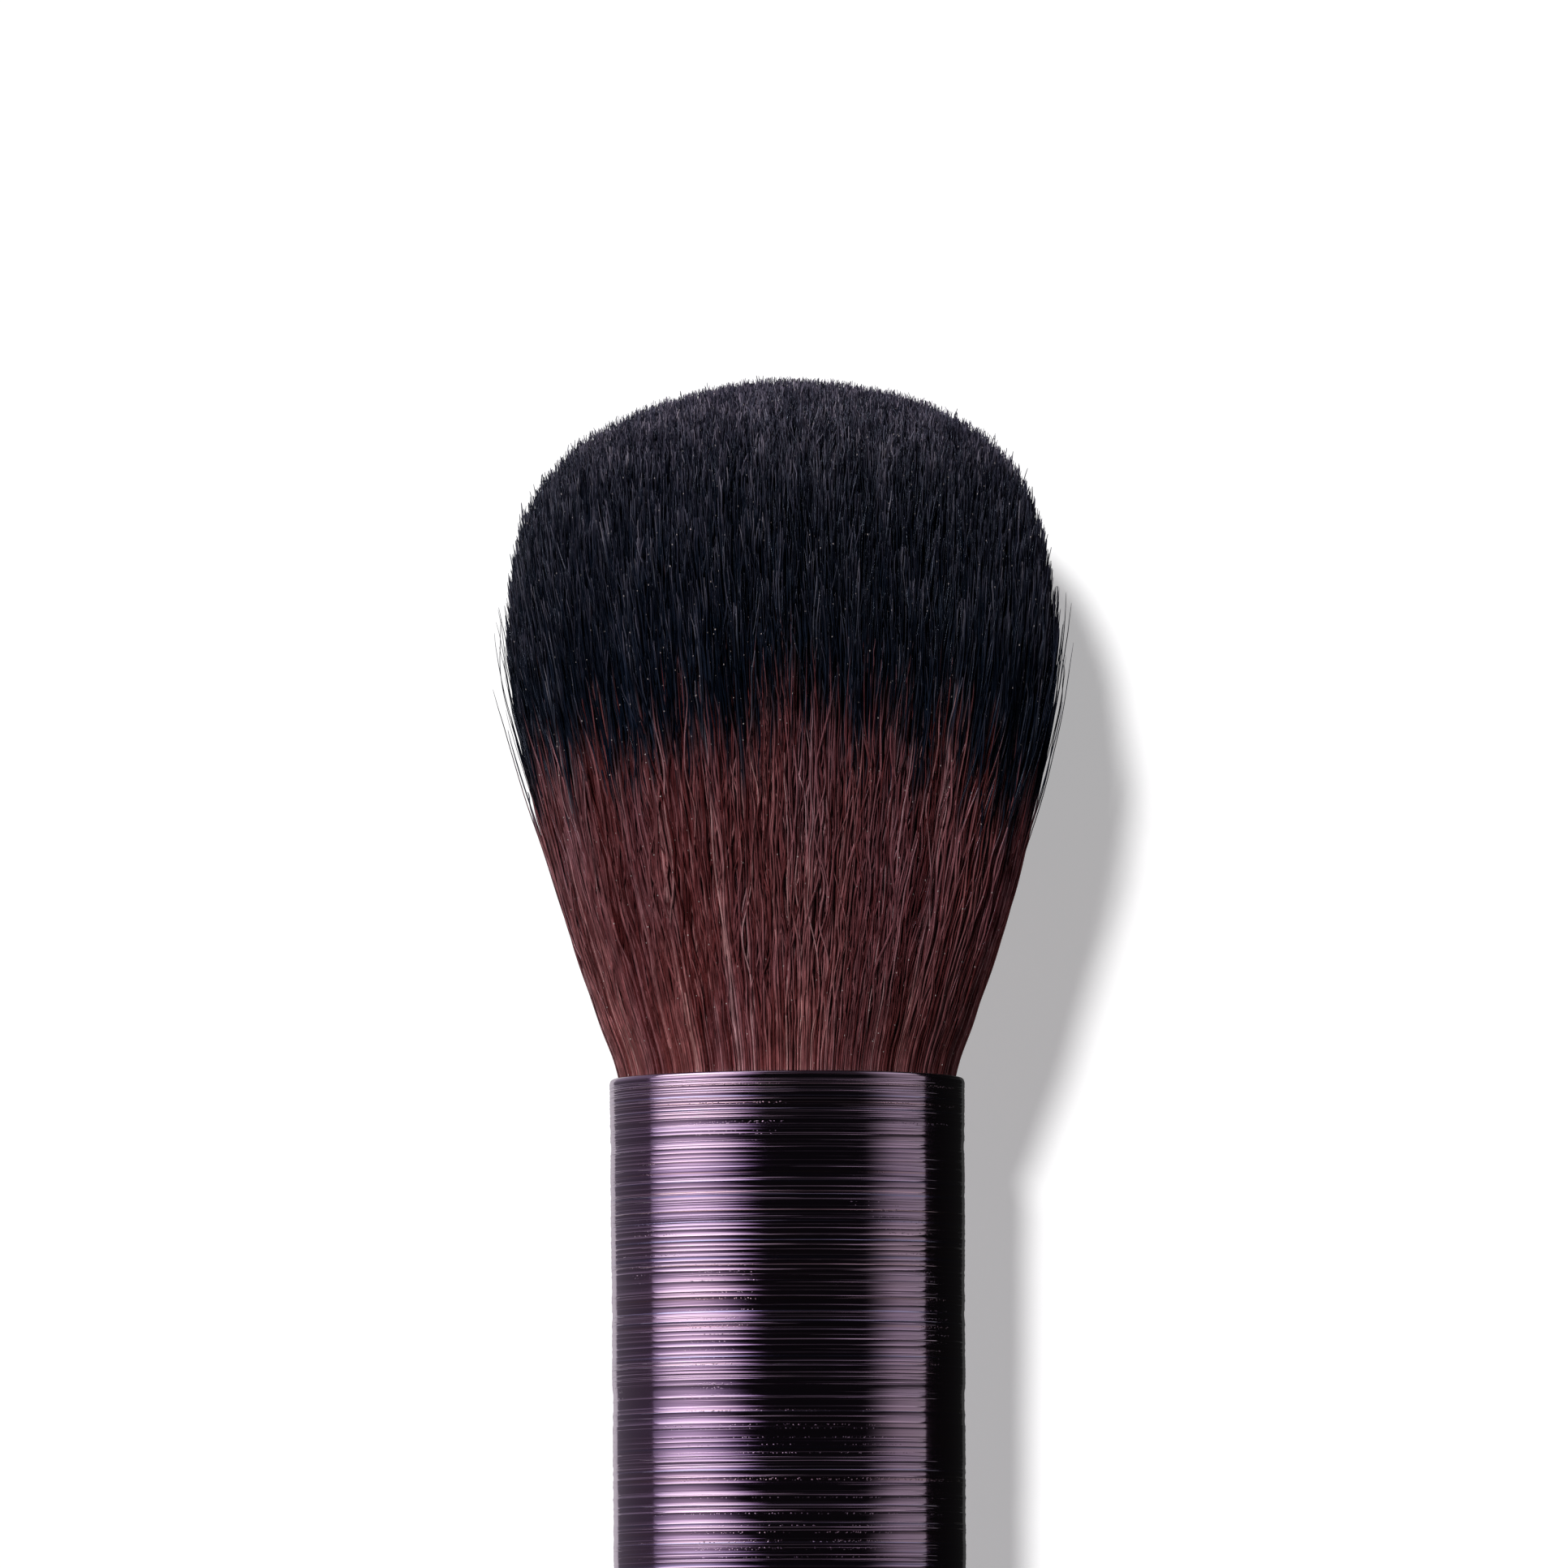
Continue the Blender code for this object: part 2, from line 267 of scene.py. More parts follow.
def groove_profile(h_top, h_low, rng, pitch=0.262, coarse=False):
    """(h, r, crest) of a turned surface from top to bottom. Each tool track starts steep
    side down, flattens and ends steep side up; crest marks the sharp ring between two."""
    hs, rs, crest = [], [], []
    h, base = h_top, -0.010
    calm, left, skew = 1.0, 0, 0.0
    at = np.array([t for t, _ in TRACK])
    slopes = np.array([v for _, v in TRACK])
    fine = np.linspace(0, 1, 101)
    land = smooth(fine, 0.08, 0.22) * (1 - smooth(fine, 0.66, 0.84))
    land -= land.mean()
    stops = np.array([0.0, 0.07, 0.20, 0.48, 0.78, 0.93]) if not coarse else np.array([0.0, 0.15, 0.50, 0.85])
    broad = np.array([0, .04, .10, .18, .27, .37, .47, .57, .67, .77, .87, .95]) if not coarse else stops
    chance = 0.05
    while h > h_low + 0.10:
        if left <= 0:                       # a stretch cut with a sharper or a duller edge
            calm, left = rng.uniform(0.68, 1.30), rng.integers(3, 9)
            skew = rng.normal(0, 0.060)     # how the lands of this stretch lean
            # near the mouth the feed was slow; below it some stretches were cut fast
            chance = 0.03 if h > h_top - 5.2 else rng.choice([0.06, 0.22, 0.50])
        left -= 1
        wide = rng.random() < chance
        near = smooth(h, h_top - 2.6, h_top - 1.2) * (h_top > -1.0)   # finer beside the mouth
        width = pitch * (1 - 0.36 * near) * (rng.uniform(1.7, 2.6) if wide else min(max(rng.normal(0.96, 0.24), 0.58), 1.5))
        width = min(width, h - h_low)
        steep = calm * (1 + 0.35 * near) * (rng.uniform(0.55, 0.85) if wide else min(max(rng.normal(0.82, 0.34), 0.15), 1.30))
        tilt = np.interp(fine, at, slopes) * steep
        tilt -= tilt.mean()
        tilt += (skew + rng.normal(0, 0.025) - 0.24 * near) * land
        tilt += rng.normal(0, 0.030) - base / width * 0.5 - 0.010 / width * 0.5
        # fainter marks somewhere on the track
        if wide:
            for spot in rng.uniform(0.15, 0.85, rng.integers(1, 4)):
                tilt += rng.uniform(0.08, 0.24) * np.sin(2 * np.pi * np.clip((fine - spot) / 0.18, -0.5, 0.5))
        elif rng.random() < 0.45:
            spot, size = rng.uniform(0.25, 0.75), rng.uniform(0.06, 0.16)
            tilt += size * np.sin(2 * np.pi * np.clip((fine - spot) / 0.22, -0.5, 0.5))
        drop = np.concatenate([[0], np.cumsum((tilt[1:] + tilt[:-1]) / 2)]) * 0.01 * width
        for t in (broad if wide else stops):
            hs.append(h - t * width)
            rs.append(base + np.interp(t, fine, drop))
            crest.append(t == 0.0)
        base += drop[-1]
        h -= width
    hs.append(h_low)
    rs.append(-0.01)
    crest.append(False)
    hs, rs = np.array(hs), np.array(rs)
    return hs, outer_radius(hs) + rs.clip(-0.07, 0.02) + 0.004, np.array(crest)


def lathe(name, hs, rs, segments, ring=False, floats=None, uneven=None, seed=0, crest=None):
    """Turns the profile (down the outer side, top to bottom) about the axis. uneven is
    how far, in mm, each of its rings strays from round."""
    n = len(hs)
    a = np.arange(segments) * 2 * np.pi / segments
    radii = np.repeat(rs[:, None], segments, 1)
    if uneven is not None:
        rng = np.random.default_rng(seed)
        for m in (3, 5, 7, 10, 14, 19):
            radii += (uneven[:, None] * rng.normal(0, 0.45, (n, 1))
                      * np.cos(m * a[None, :] + rng.uniform(0, 6.28, (n, 1))))
    verts = np.stack([
        radii * np.cos(a), radii * np.sin(a), np.repeat(hs[:, None], segments, 1)
    ], -1).reshape(-1, 3)
    rows = n if ring else n - 1
    i = np.repeat(np.arange(rows), segments)
    j = np.tile(np.arange(segments), rows)
    i2, j2 = (i + 1) % n, (j + 1) % segments
    quads = np.stack([i * segments + j, i2 * segments + j, i2 * segments + j2,
                      i * segments + j2], -1)
    length = np.concatenate([[0], np.cumsum(np.hypot(np.diff(hs), np.diff(rs)))])
    total = length[-1] + (math.hypot(hs[-1] - hs[0], rs[-1] - rs[0]) if ring else 0)
    v = np.concatenate([length, [total]]) / total
    vi = i + 1
    uv = np.stack([
        np.stack([j / segments, v[i]], -1), np.stack([j / segments, v[vi]], -1),
        np.stack([(j + 1) / segments, v[vi]], -1), np.stack([(j + 1) / segments, v[i]], -1),
    ], 1)
    per_vertex = {k: np.repeat(x, segments) for k, x in (floats or {}).items()}
    mesh = quick_mesh(name, verts, quads, uv=uv, floats=per_vertex)
    if crest is not None:
        ends = np.empty(len(mesh.edges) * 2, np.int32)
        mesh.edges.foreach_get("vertices", ends)
        ends = ends.reshape(-1, 2) // segments
        keen = (ends[:, 0] == ends[:, 1]) & crest[ends[:, 0]]
        mark = mesh.attributes.new("sharp_edge", "BOOLEAN", "EDGE")
        mark.data.foreach_set("value", keen)
    return mesh


def arc(centre_h, centre_r, radius, from_deg, to_deg, steps):
    """Points of an arc in the (h, r) plane; 0 degrees points outwards, 90 up."""
    t = np.radians(np.linspace(from_deg, to_deg, steps))
    return centre_h + radius * np.sin(t), centre_r + radius * np.cos(t)


def anodised(name):
    n = Nodes(name)
    obj = n.add("ShaderNodeTexCoord").outputs["Object"]
    parts = n.add("ShaderNodeSeparateXYZ")
    n.put(obj, parts.inputs[0])
    along = n.add("ShaderNodeCombineXYZ")
    n.put(parts.outputs[2], along.inputs[2])
    # noise that changes along the axis only, one value for each tool mark or so
    land = n.noise(along.outputs[0], 4200.0, 1.0)
    other = n.noise(n.scaled(along.outputs[0], (1, 1, -1.37)), 3600.0, 1.0)
    band = n.noise(along.outputs[0], 520.0, 2.0)
    # slow changes of the oxide's tint
    tint = n.noise(n.scaled(obj, (60.0, 60.0, 900.0)), 1.0, 3.0)
    deep = n.mix(n.spread(tint, 0.32, 0.68), (0.112, 0.058, 0.126, 1), (0.138, 0.072, 0.122, 1))
    blue = n.mix(n.spread(land, 0.57, 0.70), deep, (0.088, 0.070, 0.165, 1))
    warm = n.mix(n.spread(other, 0.60, 0.72), blue, (0.170, 0.075, 0.085, 1))
    base = n.mix(n.spread(band, 0.35, 0.75, 0.0, 0.30), warm, (0.180, 0.110, 0.165, 1))
    # chatter: here and there the edge left a row of tiny pits round the tube
    cell = n.add("ShaderNodeTexVoronoi", feature="F1")
    n.put(n.scaled(obj, (7000.0, 7000.0, 9500.0)), cell.inputs["Vector"])
    cell.inputs["Scale"].default_value = 1.0
    pit = n.spread(cell.outputs["Distance"], 0.12, 0.34, 1.0, 0.0)
    rows = n.spread(other, 0.560, 0.585)
    mouth = n.spread(n.height(obj), -0.0060, -0.0010, 0.0, 0.07)
    patch = n.spread(n.math("ADD", n.noise(obj, 150.0, 2.0), mouth), 0.54, 0.59)
    tube = n.spread(n.height(obj), -0.1224, -0.1221)          # not on the butt's face
    chatter = n.math("MULTIPLY", n.math("MULTIPLY", n.math("MULTIPLY", pit, rows), patch), tube)
    scratch = n.noise(n.scaled(obj, (500.0, 500.0, 26000.0)), 1.0, 2.0)
    rough = n.math("ADD", n.spread(land, 0.3, 0.7, 0.08, 0.15),
                   n.spread(scratch, 0.3, 0.7, -0.02, 0.03), clamp=True)
    nick = n.spread(n.noise(along.outputs[0], 8200.0, 1.0), 0.53, 0.65, smooth=True)
    fade = n.spread(n.noise(n.scaled(obj, (45.0, 45.0, 1500.0)), 1.0, 2.0), 0.40, 0.56)
    first = n.bump(scratch, 0.10, 0.00002)
    lines = n.bump(n.math("MULTIPLY", nick, fade), 1.0, 0.000013, first)
    normal = n.bump(chatter, 1.0, 0.000016, lines)
    n.set(colour=base, metal=1.0, rough=rough, normal=normal, coat=1.0, coat_rough=0.065,
          coat_ior=1.6, coat_normal=normal)
    return n.mat


METAL = anodised("anodised_aubergine")


def turned_sleeve(name, h_top, h_low, segments, seed, node, mouth):
    rng = np.random.default_rng(seed)
    bore_top, bore_low = outer_radius(h_top) - WALL, outer_radius(h_low) - WALL
    if mouth:
        # rolled mouth: inner lip, elliptical shoulder, then a slightly conical land
        ih, ir = arc(h_top - 0.10, bore_top + 0.10, 0.10, 180, 95, 4)
        t = np.radians(np.linspace(84, 14, 8))
        oh, orr = h_top - 0.20 + 0.20 * np.sin(t), outer_radius(h_top) - 0.228 + 0.20 * np.cos(t)
        oh = np.concatenate([oh, [h_top - 0.20, h_top - 0.29]])
        orr = np.concatenate([orr, [outer_radius(h_top) - 0.020, outer_radius(h_top) - 0.004]])
        gh, gr, crest = groove_profile(h_top - 0.31, h_low + 0.10, rng)
    else:
        ih, ir = arc(h_top - 0.05, bore_top + 0.05, 0.05, 180, 95, 3)
        oh, orr = arc(h_top - 0.07, outer_radius(h_top) - 0.07, 0.07, 85, 10, 3)
        gh, gr, crest = groove_profile(h_top - 0.10, h_low + 0.10, rng, coarse=True)
    lh, lr = arc(h_low + 0.07, outer_radius(h_low) - 0.07, 0.07, -10, -85, 3)
    bh, br = arc(h_low + 0.05, bore_low + 0.05, 0.05, -95, -180, 3)
    hs = np.concatenate([ih, oh, gh, lh, bh])
    rs = np.concatenate([ir, orr, gr, lr, br])
    uneven = np.concatenate([ih * 0, oh * 0, gh * 0 + 0.0005, lh * 0, bh * 0])
    keen = np.zeros(len(hs), bool)
    keen[len(ih) + len(oh):len(ih) + len(oh) + len(gh)] = crest
    mesh = lathe(name, hs, rs, segments, ring=True, uneven=uneven, seed=seed, crest=keen)
    print(name, len(mesh.polygons) * 2, "triangles")
    return piece(name, mesh, METAL, node)


turned_sleeve("ferrule_turned", 0.0, -FERRULE_LENGTH + 0.04, 100, 7, "ferrule", True)
turned_sleeve("handle_sleeve_turned", -FERRULE_LENGTH - 0.04, -MOUTH + CAP_FLANGE + 0.1, 80, 11,
              "handle_sleeve", False)


def butt_cap():
    """Flat butt with fine facing rings, a chamfered rim and the plug inside the core."""
    rng = np.random.default_rng(5)
    base = -MOUTH
    rim = outer_radius(base)
    plug, top = 6.5, base + CAP_FLANGE
    up_h, up_r = arc(top - 0.07, rim - 0.07, 0.07, 88, 5, 3)
    side_h, side_r, _ = groove_profile(top - 0.12, base + 0.66, rng)
    edge_h, edge_r = arc(base + 0.60, rim - 0.60, 0.60, 0, -84, 8)
    face_r = [rim - 0.66]
    while face_r[-1] > 0.4:
        face_r.append(face_r[-1] - (0.10 + 0.09 * rng.random()))
    face_r = np.array(face_r)
    face_h = base + np.where(np.arange(len(face_r)) % 2 == 0, 0.0, 0.010) + rng.normal(0, 0.0015, len(face_r))
    hs = np.concatenate([[top + 6.4, top + 6.4, top + 6.0, top + 0.02, top], up_h, side_h,
                         edge_h, face_h, [base + 0.01]])
    rs = np.concatenate([[0.05, plug - 0.4, plug, plug, plug + 0.1], up_r, side_r, edge_r,
                         face_r, [0.02]])
    mesh = lathe("end_cap_turned", hs, rs, 96, ring=True)
    return piece("end_cap_turned", mesh, METAL, "end_cap")


butt_cap()

# ======================================================================================
# Hair
# ======================================================================================
HAIR_STATIONS = [
    (0.0, 8.99), (0.35, 9.04), (1.1, 9.25), (2.0, 9.58), (2.8, 9.90), (4.6, 10.49),
    (7.2, 11.33), (9.8, 12.12), (12.4, 12.76), (15.0, 13.40), (17.6, 13.92), (20.2, 14.42),
    (22.8, 14.74), (25.4, 14.66), (27.1, 14.46), (28.9, 14.10), (30.6, 13.54), (32.3, 12.62),
    (34.1, 10.92), (34.9, 9.66), (35.8, 7.85), (36.7, 4.70), (37.15, 1.9), (37.2, 0.0),
]
FLOW_STATIONS = [
    (-6.0, 8.9), (-1.0, 8.95), (0.0, 8.99), (1.1, 9.25), (2.8, 9.90), (4.6, 10.49),
    (7.2, 11.33), (9.8, 12.12), (12.4, 12.76), (15.0, 13.40), (17.6, 13.93), (20.2, 14.46),
    (23.0, 14.90), (26.0, 15.28), (30.0, 15.70), (34.0, 16.02), (38.0, 16.24),
]
hull_h, hull_r = spline_curve(HAIR_STATIONS)
flow_h, flow_r = spline_curve(FLOW_STATIONS)
HAIR_COUNT = 30000
# how far the tips stand off the axis, towards +Y
LEAN = 0.34


def hair_paths():
    rng = np.random.default_rng(20240611)
    n = HAIR_COUNT
    k = np.arange(n)
    rho = np.sqrt((k + 0.5) / n)
    theta = k * math.pi * (3 - math.sqrt(5))
    # jittered so that no spiral arms show
    px = rho * np.cos(theta) + rng.normal(0, 0.004, n)
    py = rho * np.sin(theta) + rng.normal(0, 0.004, n)
    rho = np.minimum(np.hypot(px, py), 0.9985)
    theta = np.arctan2(py, px)
    # height of each tip: where its path meets the dome
    grid = np.linspace(20.0, 37.2, 345)
    gap = rho[:, None] * np.interp(grid, flow_h, flow_r) - np.interp(grid, hull_h, hull_r)
    tip = np.where((gap >= 0).any(1), grid[(gap >= 0).argmax(1)], 37.2)
    # the dome leans a little towards -Y
    tip = tip - 0.28 * rho * np.sin(theta) - 0.78 * rho * (1 - 0.40 * rho) * np.sin(theta).clip(0, 1)
    rim = smooth(rho, 0.93, 1.0)
    tip = tip + rng.normal(0, 0.08, n) - rng.exponential(0.22, n) + 0.28
    tip = tip + rim * rng.normal(0.0, 0.55, n)
    short = rng.random(n) < 0.09
    tip = np.where(short, tip - rng.random(n) * 3.5, tip)

    t = np.concatenate([[0, .04], np.linspace(0.065, 0.862, 70),
                        [.874, .886, .898, .910, .922, .934, .946, .957, .967, .976, .984, .991,
                         .996, 1.0]])
    h = -2.5 + (tip[:, None] + 2.5) * t[None, :]
    lift = np.clip(h, 0, None) / 37.2

    radial = rho[:, None] * np.interp(h, flow_h, flow_r)

    # locks: groups of neighbours drawn a little towards their own middle
    groups = 2100
    seeds = rng.choice(n, groups, replace=False)
    at = np.stack([rho * np.cos(theta), rho * np.sin(theta)], -1)
    nearest = np.empty(n, int)
    for lo in range(0, n, 2000):
        d = ((at[lo:lo + 2000, None, :] - at[None, seeds, :]) ** 2).sum(-1)
        nearest[lo:lo + 2000] = d.argmin(1)
    lead = seeds[nearest]
    pull = rng.uniform(0.0, 0.50, groups)[nearest]
    draw = pull[:, None] * smooth(h, 2.0, 16.0) * (1 - 0.6 * smooth(h, 25.0, 36.0))
    lead_r = np.hypot(at[lead, 0], at[lead, 1])[:, None] * np.interp(h, flow_h, flow_r)
    lead_t = np.arctan2(at[lead, 1], at[lead, 0])[:, None]
    # mostly sideways, so that the tuft keeps its outline
    turn = (lead_t - theta[:, None] + np.pi) % (2 * np.pi) - np.pi
    angle = theta[:, None] + turn * draw
    radial = radial + (lead_r - radial) * draw * 0.35

    # small locks of the dome: a handful of tips that lean and end together
    few = 3600
    heads = rng.choice(n, few, replace=False)
    tree = KDTree(few)
    for i, k2 in enumerate(heads):
        tree.insert((at[k2, 0], at[k2, 1], 0.0), i)
    tree.balance()
    small = np.array([tree.find((x, y, 0.0))[1] for x, y in at])
    near_tip = smooth(h, tip[:, None] - 7.0, tip[:, None] - 0.5)
    flank = smooth(rho, 0.70, 0.90)[:, None]
    gather = rng.uniform(0.15, 0.75, few)[small][:, None] * near_tip * (1 - 0.35 * flank)
    own_x = radial * np.cos(angle)
    own_y = radial * np.sin(angle)
    head = heads[small]
    to_x = radial[head] * np.cos(angle[head])
    to_y = radial[head] * np.sin(angle[head])
    own_x = own_x + (to_x - own_x) * gather
    own_y = own_y + (to_y - own_y) * gather
    loose = 1 - 0.7 * flank
    own_x += (rng.normal(0, 0.17, few)[small])[:, None] * near_tip * loose
    own_y += (rng.normal(0, 0.17, few)[small])[:, None] * near_tip * loose
    radial = np.hypot(own_x, own_y)
    angle = np.arctan2(own_y, own_x)

    # slow sway shared by neighbours
    sway = np.zeros_like(h)
    for _ in range(14):
        m = rng.integers(4, 46)
        sway += rng.normal(0, 0.060) * np.sin(
            m * theta[:, None] + rng.uniform(0, 6.28) + h * rng.uniform(0.05, 0.40)
            + 5 * rho[:, None] * rng.uniform(-1, 1))
    sway *= smooth(h, 1.0, 12.0)

    # each filament's own bends
    def wave(low, high, size):
        length = rng.uniform(low, high, n)[:, None]
        return size[:, None] * np.sin(2 * np.pi * h / length + rng.uniform(0, 6.28, n)[:, None])

    top = smooth(rho, 0.82, 0.97)
    own = rng.gamma(2.2, 0.029, n)
    stray = (rng.random(n) < 0.08 + 0.28 * top)
    own = np.where(stray, own + rng.uniform(0.06, 0.30, n), own)
    fine = rng.gamma(2.2, 0.0145, n) * (1 + 1.0 * top) + np.where(stray, rng.uniform(0.03, 0.15, n), 0)
    kink = rng.gamma(1.6, 0.0060, n) * (1 + 1.0 * top) + np.where(stray, rng.uniform(0.0, 0.03, n), 0)
    straight = 1 - 0.45 * smooth(h, 13.0, 20.0)     # the dark part was combed straighter
    side = (wave(11, 24, own) + wave(4.6, 9.0, fine) * straight) * smooth(h, 0.3, 6.0)
    side += wave(2.6, 4.4, kink) * smooth(h, 0.2, 3.0) * straight
    crimp = rng.gamma(2.0, 0.0036, n) * (1 + 0.5 * top)
    side += wave(1.5, 2.5, crimp) * smooth(h, 0.2, 2.0) * straight
    lean = rng.normal(0, 0.15, n)[:, None] * lift ** 1.4
    drift = rng.normal(0, np.where(stray, 0.85, 0.25))[:, None] * smooth(h, 1.0, 24.0)
    # the last few millimetres splay, and the tips themselves are crinkled
    end = np.clip((h - (tip[:, None] - 3.2)) / 3.2, 0, 1)
    last = smooth(h, tip[:, None] - 2.2, tip[:, None] - 0.5)
    splay = rng.normal(0, 0.19, n)[:, None] * end ** 2
    splay *= 1 - 0.5 * flank
    crisp = 1 - 0.75 * smooth(rho, 0.66, 0.88)
    splay += wave(0.9, 1.7, np.abs(rng.normal(0, 0.056, n)) * crisp) * last
    tangential = sway + side + lean + drift + splay
    calm = (1 - 0.45 * smooth(rho, 0.955, 0.985))[:, None]
    out = (wave(11, 24, own * 0.6) + wave(4.6, 9.0, fine * 0.8) + wave(2.6, 4.4, kink * 0.7)) * smooth(h, 0.6, 7.0)
    out *= calm
    out += rng.normal(0, 0.14, n)[:, None] * lift ** 1.5 * calm
    out += rng.normal(0, 0.14, n)[:, None] * end ** 2
    out += wave(0.9, 1.7, np.abs(rng.normal(0, 0.058, n)) * crisp) * last
    edge = smooth(rho, 0.75, 1.0)[:, None]
    out = np.where(out > 0, out * (1 - 0.70 * edge), out)
    out += np.where(stray, rng.uniform(0.02, 0.16, n), 0)[:, None] * smooth(h, 2.0, 9.0)
    # a few flyaways stand off the outline
    fly = (rng.random(n) < 0.13) & (rho > 0.955)
    out += np.where(fly, rng.exponential(0.31, n).clip(0.05, 1.15), 0)[:, None] * smooth(h, 7.0, 23.0)
    radial = np.maximum(radial + out, 0.01)
    angle = angle + tangential / np.maximum(radial, 1.2)
    packed = smooth(-h, -0.6, 0.4)           # inside the mouth they are packed tight
    radial = radial * (1 - packed) + np.minimum(radial, rho[:, None] * 8.96) * packed
    across = radial * np.sin(angle) + LEAN * smooth(h, 15.0, 31.0)
    down = radial * np.cos(angle)
    # hair that would pass through the floor lies on it instead
    table = (-LAID.translation.z / MM + 0.08 - axis_dir.z * h) / down_dir.z
    over = down - (table - 0.8)
    down = np.where(over > 0, table - 0.8 + 0.8 * np.tanh(over / 0.8) * 0.98, down)
    pts = np.stack([down, across, h], -1)

    thick = np.exp(rng.normal(0, 0.17, n)).clip(0.68, 1.45)
    thick = np.where(fly, thick * 0.62, thick)
    thick *= 1 + 0.20 * (1 - smooth(rho, 0.90, 0.96))        # fuller where only gaps show it
    taper = np.clip((tip[:, None] - h) / 1.8, 0, 1) ** 0.65
    body = 0.0570 * (1 - 0.32 * smooth(h, 9.0, 26.0))
    radius = thick[:, None] * body * (0.36 + 0.64 * taper)
    return rng, pts, radius, h, rho, theta, tip, lead, small


def strands(name, pts, radius, floats, sides, mat):
    """One closed tapered tube per filament, all in one mesh."""
    n, s, _ = pts.shape
    tangent = np.gradient(pts, axis=1)
    tangent /= np.linalg.norm(tangent, axis=2, keepdims=True)
    ref = np.stack([pts[:, :1, 0], pts[:, :1, 1], np.zeros((n, 1))], -1)
    ref /= np.maximum(np.linalg.norm(ref, axis=2, keepdims=True), 1e-6)
    u = np.cross(tangent, np.repeat(ref, s, 1))
    u /= np.maximum(np.linalg.norm(u, axis=2, keepdims=True), 1e-6)
    w = np.cross(tangent, u)
    a = np.arange(sides) * 2 * np.pi / sides
    ring = (u[:, :, None, :] * np.cos(a)[None, None, :, None]
            + w[:, :, None, :] * np.sin(a)[None, None, :, None])
    verts = pts[:, :, None, :] + ring * radius[:, :, None, None]     # n, s, sides, 3
    body = verts.reshape(-1, 3)
    ends = np.concatenate([pts[:, 0], pts[:, -1] + tangent[:, -1] * radius[:, -1:] * 2.0])
    all_verts = np.concatenate([body, ends])
    base = (np.arange(n) * s * sides)[:, None, None]
    i = np.arange(s - 1)[None, :, None]
    j = np.arange(sides)[None, None, :]
    j2 = (j + 1) % sides
    quads = np.stack([
        base + i * sides + j, base + i * sides + j2,
        base + (i + 1) * sides + j2, base + (i + 1) * sides + j,
    ], -1).reshape(-1, 4)
    first = (np.arange(n) * s * sides)[:, None]
    jj, jj2 = np.arange(sides)[None, :], (np.arange(sides)[None, :] + 1) % sides
    low = np.stack([first + jj2, first + jj,
                    np.broadcast_to((len(body) + np.arange(n))[:, None], (n, sides))], -1)
    last = first + (s - 1) * sides
    high = np.stack([last + jj, last + jj2,
                     np.broadcast_to((len(body) + n + np.arange(n))[:, None], (n, sides))], -1)
    tris = np.concatenate([low.reshape(-1, 3), high.reshape(-1, 3)])
    # map: one column for each filament, its length up the map
    col = np.arange(n)[:, None, None] / n
    wide = 1.0 / n
    v = np.linspace(0.02, 0.98, s)
    uj = (j / sides) * wide * 0.8
    uj2 = ((j + 1) / sides) * wide * 0.8
    v0 = v[:-1][None, :, None] + np.zeros((n, 1, sides))
    v1 = v[1:][None, :, None] + np.zeros((n, 1, sides))
    a0 = col + uj + np.zeros((n, s - 1, sides))
    a1 = col + uj2 + np.zeros((n, s - 1, sides))
    uv = np.stack([np.stack([a0, v0], -1), np.stack([a1, v0], -1),
                   np.stack([a1, v1], -1), np.stack([a0, v1], -1)], 3).reshape(-1, 4, 2)
    c2, b0, b1 = np.arange(n)[:, None] / n, uj[0], uj2[0]
    tri_low = np.stack([np.stack([c2 + b1, c2 * 0 + 0.02 + b1 * 0], -1),
                        np.stack([c2 + b0, c2 * 0 + 0.02 + b0 * 0], -1),
                        np.stack([c2 + (b0 + b1) / 2, c2 * 0 + 0.0 + b0 * 0], -1)], 2)
    tri_high = np.stack([np.stack([c2 + b0, c2 * 0 + 0.98 + b0 * 0], -1),
                         np.stack([c2 + b1, c2 * 0 + 0.98 + b1 * 0], -1),
                         np.stack([c2 + (b0 + b1) / 2, c2 * 0 + 1.0 + b0 * 0], -1)], 2)
    tri_uv = np.concatenate([tri_low.reshape(-1, 3, 2), tri_high.reshape(-1, 3, 2)])
    per_vertex = {}
    for key, value in floats.items():
        spread = np.repeat(value[:, :, None], sides, 2).reshape(-1)
        per_vertex[key] = np.concatenate([spread, value[:, 0], value[:, -1]])
    mesh = quick_mesh(name, all_verts, quads, tris, uv, per_vertex, tri_uv)
    return piece(name, mesh, mat, "bristle_tuft")


